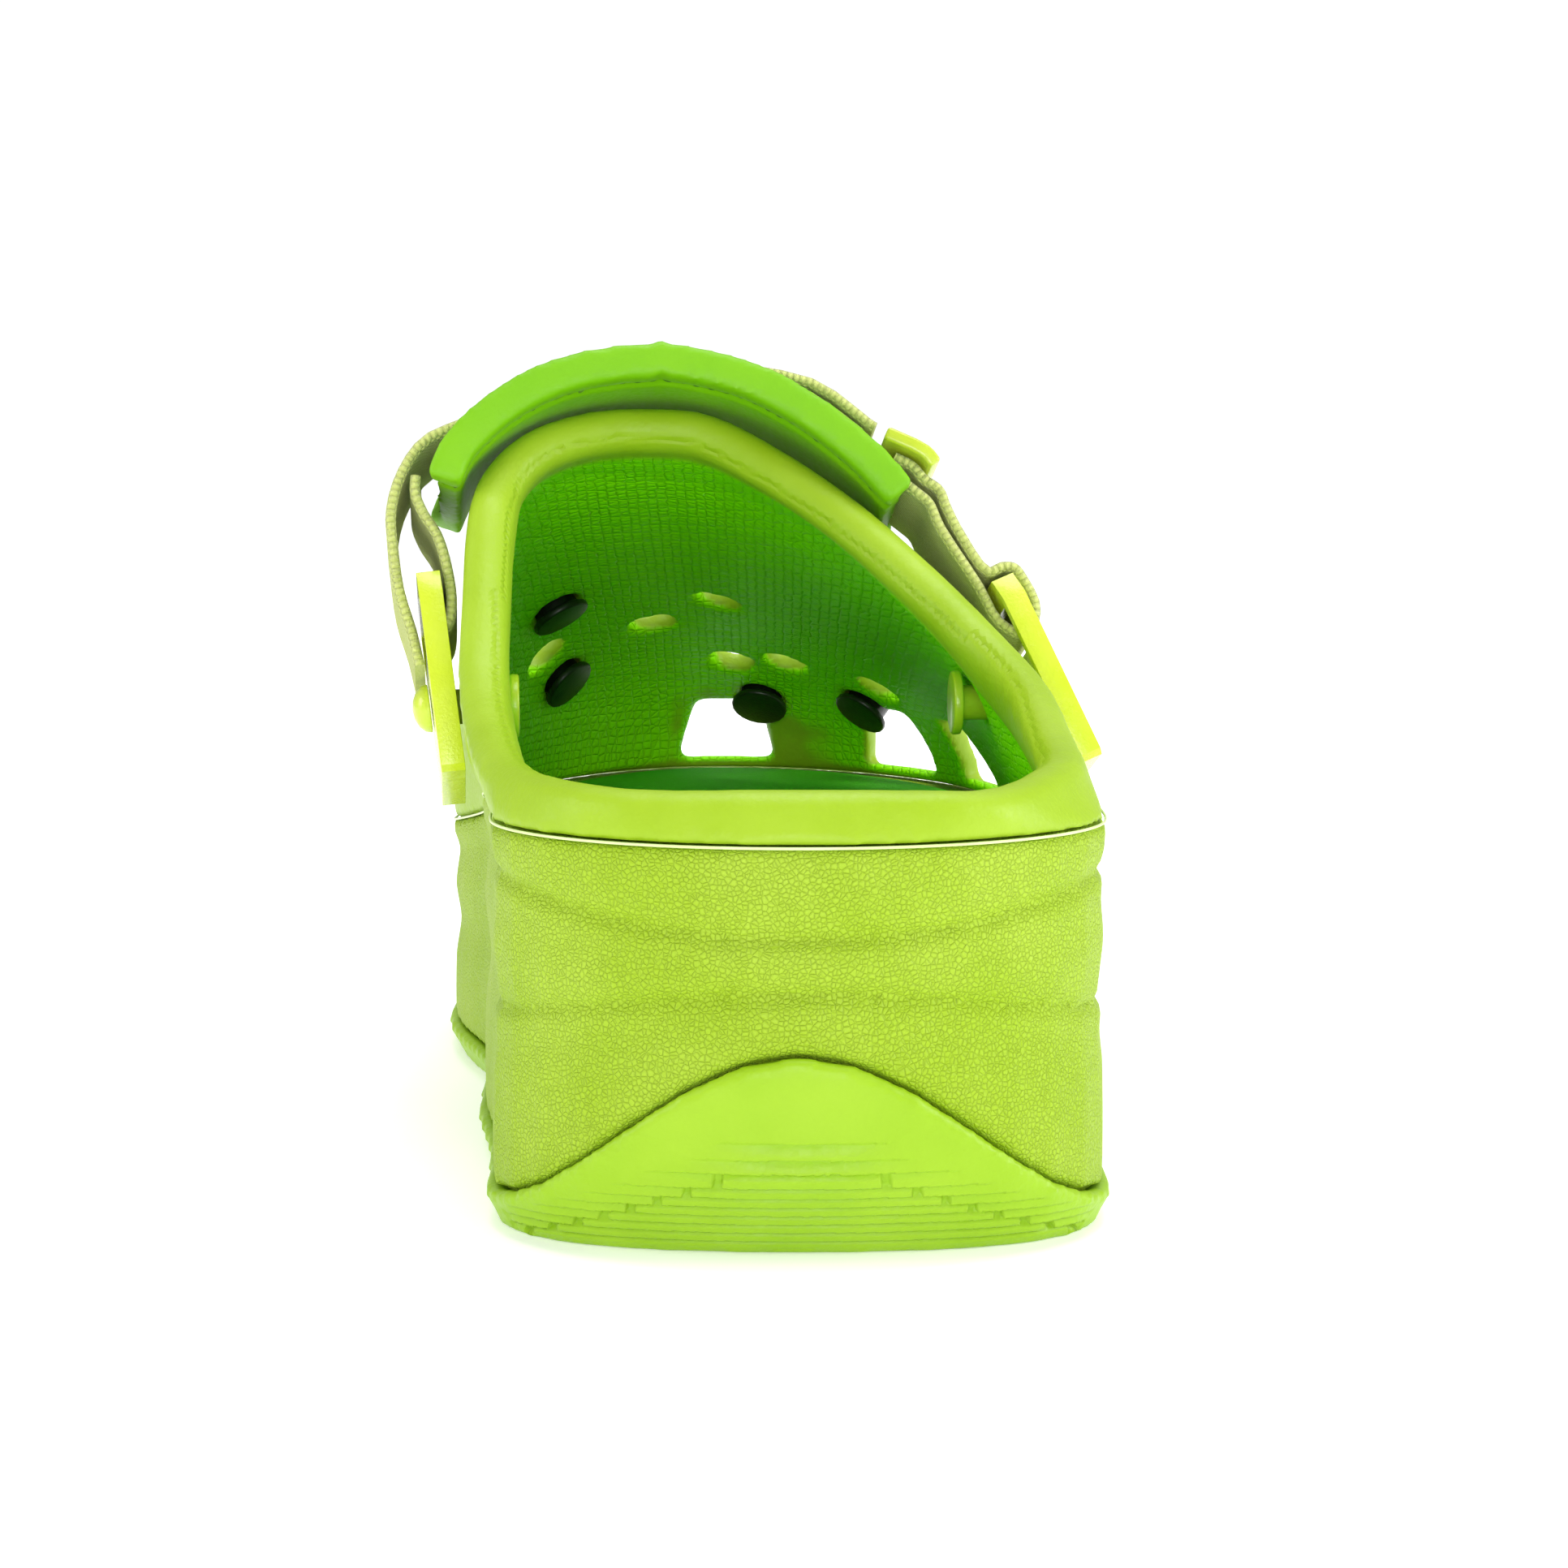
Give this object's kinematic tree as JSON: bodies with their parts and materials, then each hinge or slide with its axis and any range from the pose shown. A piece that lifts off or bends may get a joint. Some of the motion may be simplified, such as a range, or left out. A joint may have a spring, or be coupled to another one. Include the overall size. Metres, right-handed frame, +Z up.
{
  "type": "garden clog",
  "caption": "Thick-soled moulded foam clog for the right foot, with vents, toe ports and a padded heel strap on two side rivets, stowed forward.",
  "frame": {"origin": "on the floor, below the middle of the whole clog's bounding box", "axes": "+Z up, +Y from the heel to the toe, +X to the outer (lateral) side of the right foot"},
  "size_m": [0.1227, 0.2798, 0.1327],
  "materials": {
    "outsole": "smooth, satin",
    "midsole": "fine leather grain, matte",
    "footbed": "matte foam",
    "upper": "smooth foam skin, scaled inside",
    "stud": "matte",
    "rivet": "moulded, semi-gloss",
    "clip": "moulded, glossy",
    "pad": "smooth foam skin",
    "webbing": "knitted",
    "tape": "woven hook tape",
    "slider": "moulded, semi-gloss"
  },
  "bodies": {
    "clog": {"outsole": "outsole", "midsole": "midsole", "footbed": "footbed", "upper_shell": "upper", "vent_stud_1": "stud", "vent_stud_2": "stud", "vent_stud_3": "stud", "vent_stud_4": "stud", "medial_rivet": "rivet", "lateral_rivet": "rivet"},
    "strap": {"medial_clip": "clip", "lateral_clip": "clip", "medial_rivet_cap": "rivet", "lateral_rivet_cap": "rivet", "strap_pad": "pad", "strap_webbing": "webbing", "medial_webbing": "webbing", "lateral_webbing": "webbing", "hook_tape": "tape", "strap_slider": "slider"}
  },
  "joints": [
    {"name": "strap_swing", "type": "hinge", "parent": "clog", "child": "strap", "pos_m": [0.00602, -0.02389, 0.071], "axis": [0.9962, 0.0872, 0], "range_deg": [0, 22]}
  ]
}
